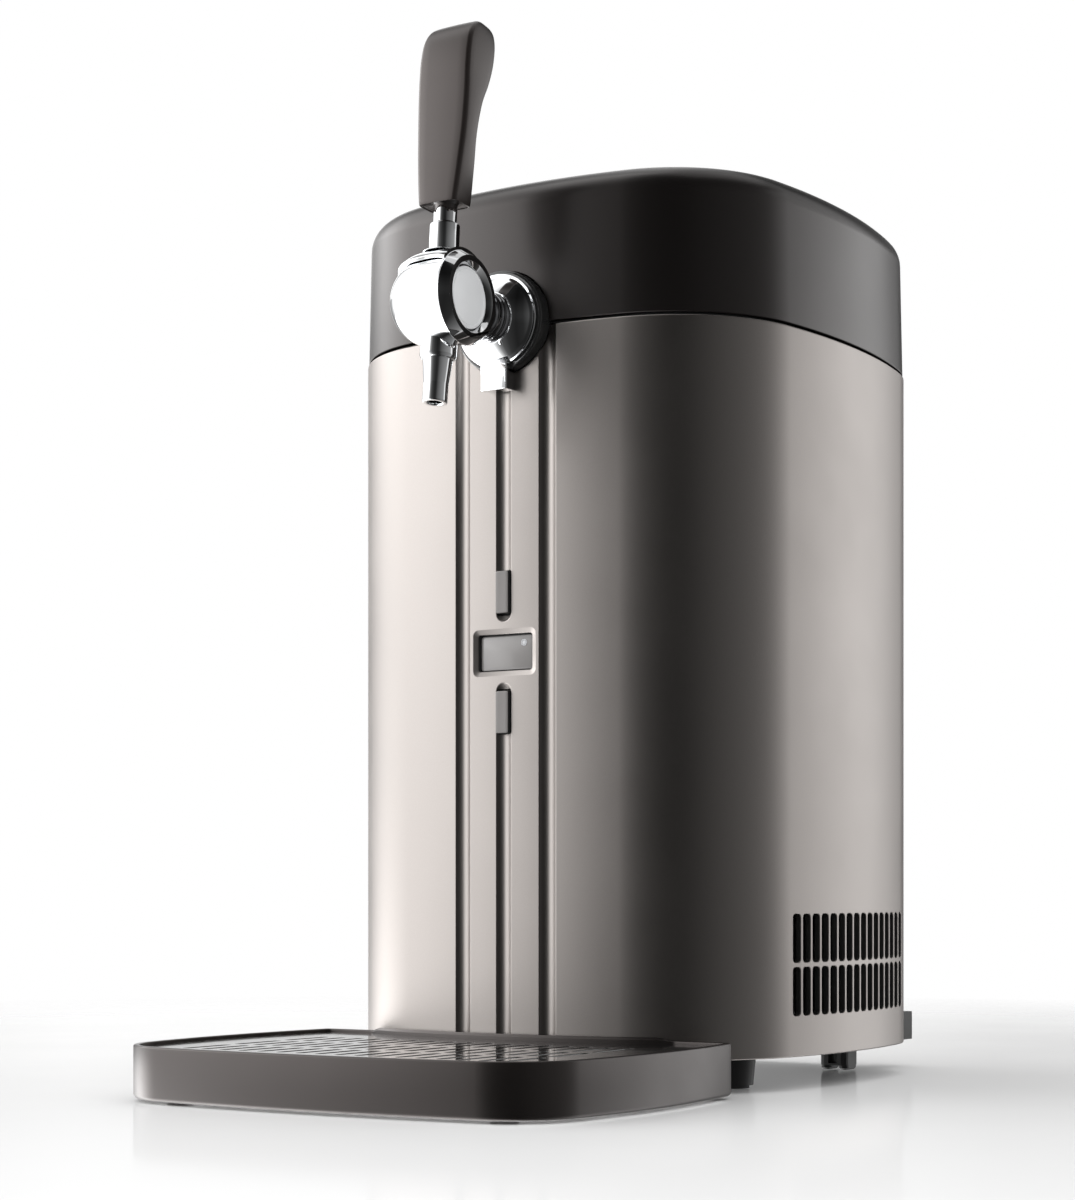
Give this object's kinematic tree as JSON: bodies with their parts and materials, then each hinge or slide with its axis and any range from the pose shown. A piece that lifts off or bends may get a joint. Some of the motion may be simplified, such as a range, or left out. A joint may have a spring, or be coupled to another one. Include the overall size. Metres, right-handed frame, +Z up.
{
  "type": "mini keg beer dispenser",
  "caption": "Cooled mini keg dispenser: oval insulated housing, lift-up lid over a keg well, lever tap with spout, control panel, side vents and a pull-off drip tray.",
  "frame": {"origin": "centre of the part's bounding box at the table's level", "axes": "+Z up, -Y towards the tap and the tray, +X to the right as the front is faced from behind the appliance, which is the user's right"},
  "size_m": [0.256, 0.434, 0.5109],
  "materials": {
    "body_shell": "satin metallic warm grey paint on a moulded shell",
    "lid_shell": "dark warm grey, satin",
    "handle": "dark warm grey, soft satin",
    "tray": "dark warm grey, satin",
    "black_plastic": "black, fine matt grain",
    "gloss_black": "black, polished",
    "chrome": "polished chrome plate on brass",
    "well_metal": "drawn aluminium, satin",
    "sink_metal": "extruded aluminium",
    "screw_steel": "zinc plated steel",
    "foam": "expanded foam, off-white",
    "ceramic": "white ceramic plates",
    "rubber": "black rubber",
    "board": "green circuit board",
    "button": "mid grey, satin",
    "window": "grey tinted window, polished",
    "liner": "dark grey vacuum-formed sheet",
    "hose": "milky beer hose"
  },
  "bodies": {
    "cabinet": {"outer_housing": "body_shell", "base_pan": "black_plastic", "base_screws": "screw_steel", "front_feet": "black_plastic", "foot_pads": "rubber", "rear_feet": "black_plastic", "top_frame": "black_plastic", "keg_well": "well_metal", "well_insulation": "foam", "cold_block": "sink_metal", "peltier_module": "ceramic", "heat_sink": "sink_metal", "cooler_screws": "screw_steel", "fan_frame": "black_plastic", "rear_grille": "black_plastic", "grille_screws": "screw_steel", "power_inlet": "black_plastic", "power_board": "board", "control_board": "board", "display_module": "black_plastic", "display_window": "window", "button_switches": "black_plastic", "tap_collar": "gloss_black", "tap_flange": "chrome", "tap_shank": "chrome", "tap_nut": "screw_steel", "tap_barrel": "chrome", "spout": "chrome", "hose_barb": "screw_steel", "beer_line": "hose", "keg_coupler": "black_plastic", "hinge_base": "black_plastic", "hinge_pin": "screw_steel", "hinge_base_screws": "screw_steel"},
    "lid": {"lid_shell": "lid_shell", "lid_liner": "liner", "lid_insulation": "foam", "lid_gasket": "rubber", "hinge_flap": "black_plastic", "hinge_flap_screws": "screw_steel"},
    "lever": {"valve_plug": "chrome", "plug_seals": "rubber", "lever_saddle": "chrome", "lever_rod": "chrome", "handle": "handle"},
    "fan": {"fan_rotor": "black_plastic"},
    "button_upper": {"button_upper": "button"},
    "button_lower": {"button_lower": "button"},
    "tray": {"drip_tray": "tray", "tray_pads": "rubber"},
    "grid": {"drip_grid": "gloss_black"}
  },
  "joints": [
    {"name": "lid_hinge", "type": "hinge", "parent": "cabinet", "child": "lid", "pos_m": [0, 0.2132, 0.3727], "axis": [-1, 0, 0], "range_deg": [0, 80]},
    {"name": "tap_lever", "type": "hinge", "parent": "cabinet", "child": "lever", "pos_m": [0, -0.108, 0.375], "axis": [1, 0, 0], "range_deg": [0, 45]},
    {"name": "fan_spin", "type": "hinge", "parent": "cabinet", "child": "fan", "pos_m": [0, 0.19, 0.0585], "axis": [0, 1, 0], "continuous": true},
    {"name": "upper_button_press", "type": "slide", "parent": "cabinet", "child": "button_upper", "axis": [0, 1, 0], "range_m": [0, 0.0015], "stiffness_N_per_m": 500},
    {"name": "lower_button_press", "type": "slide", "parent": "cabinet", "child": "button_lower", "axis": [0, 1, 0], "range_m": [0, 0.0015], "stiffness_N_per_m": 500},
    {"name": "tray_slide", "type": "slide", "parent": "cabinet", "child": "tray", "axis": [0, -1, 0], "range_m": [0, 0.16]},
    {"name": "grid_lift", "type": "slide", "parent": "tray", "child": "grid", "axis": [0, 0, 1], "range_m": [0, 0.06]}
  ]
}
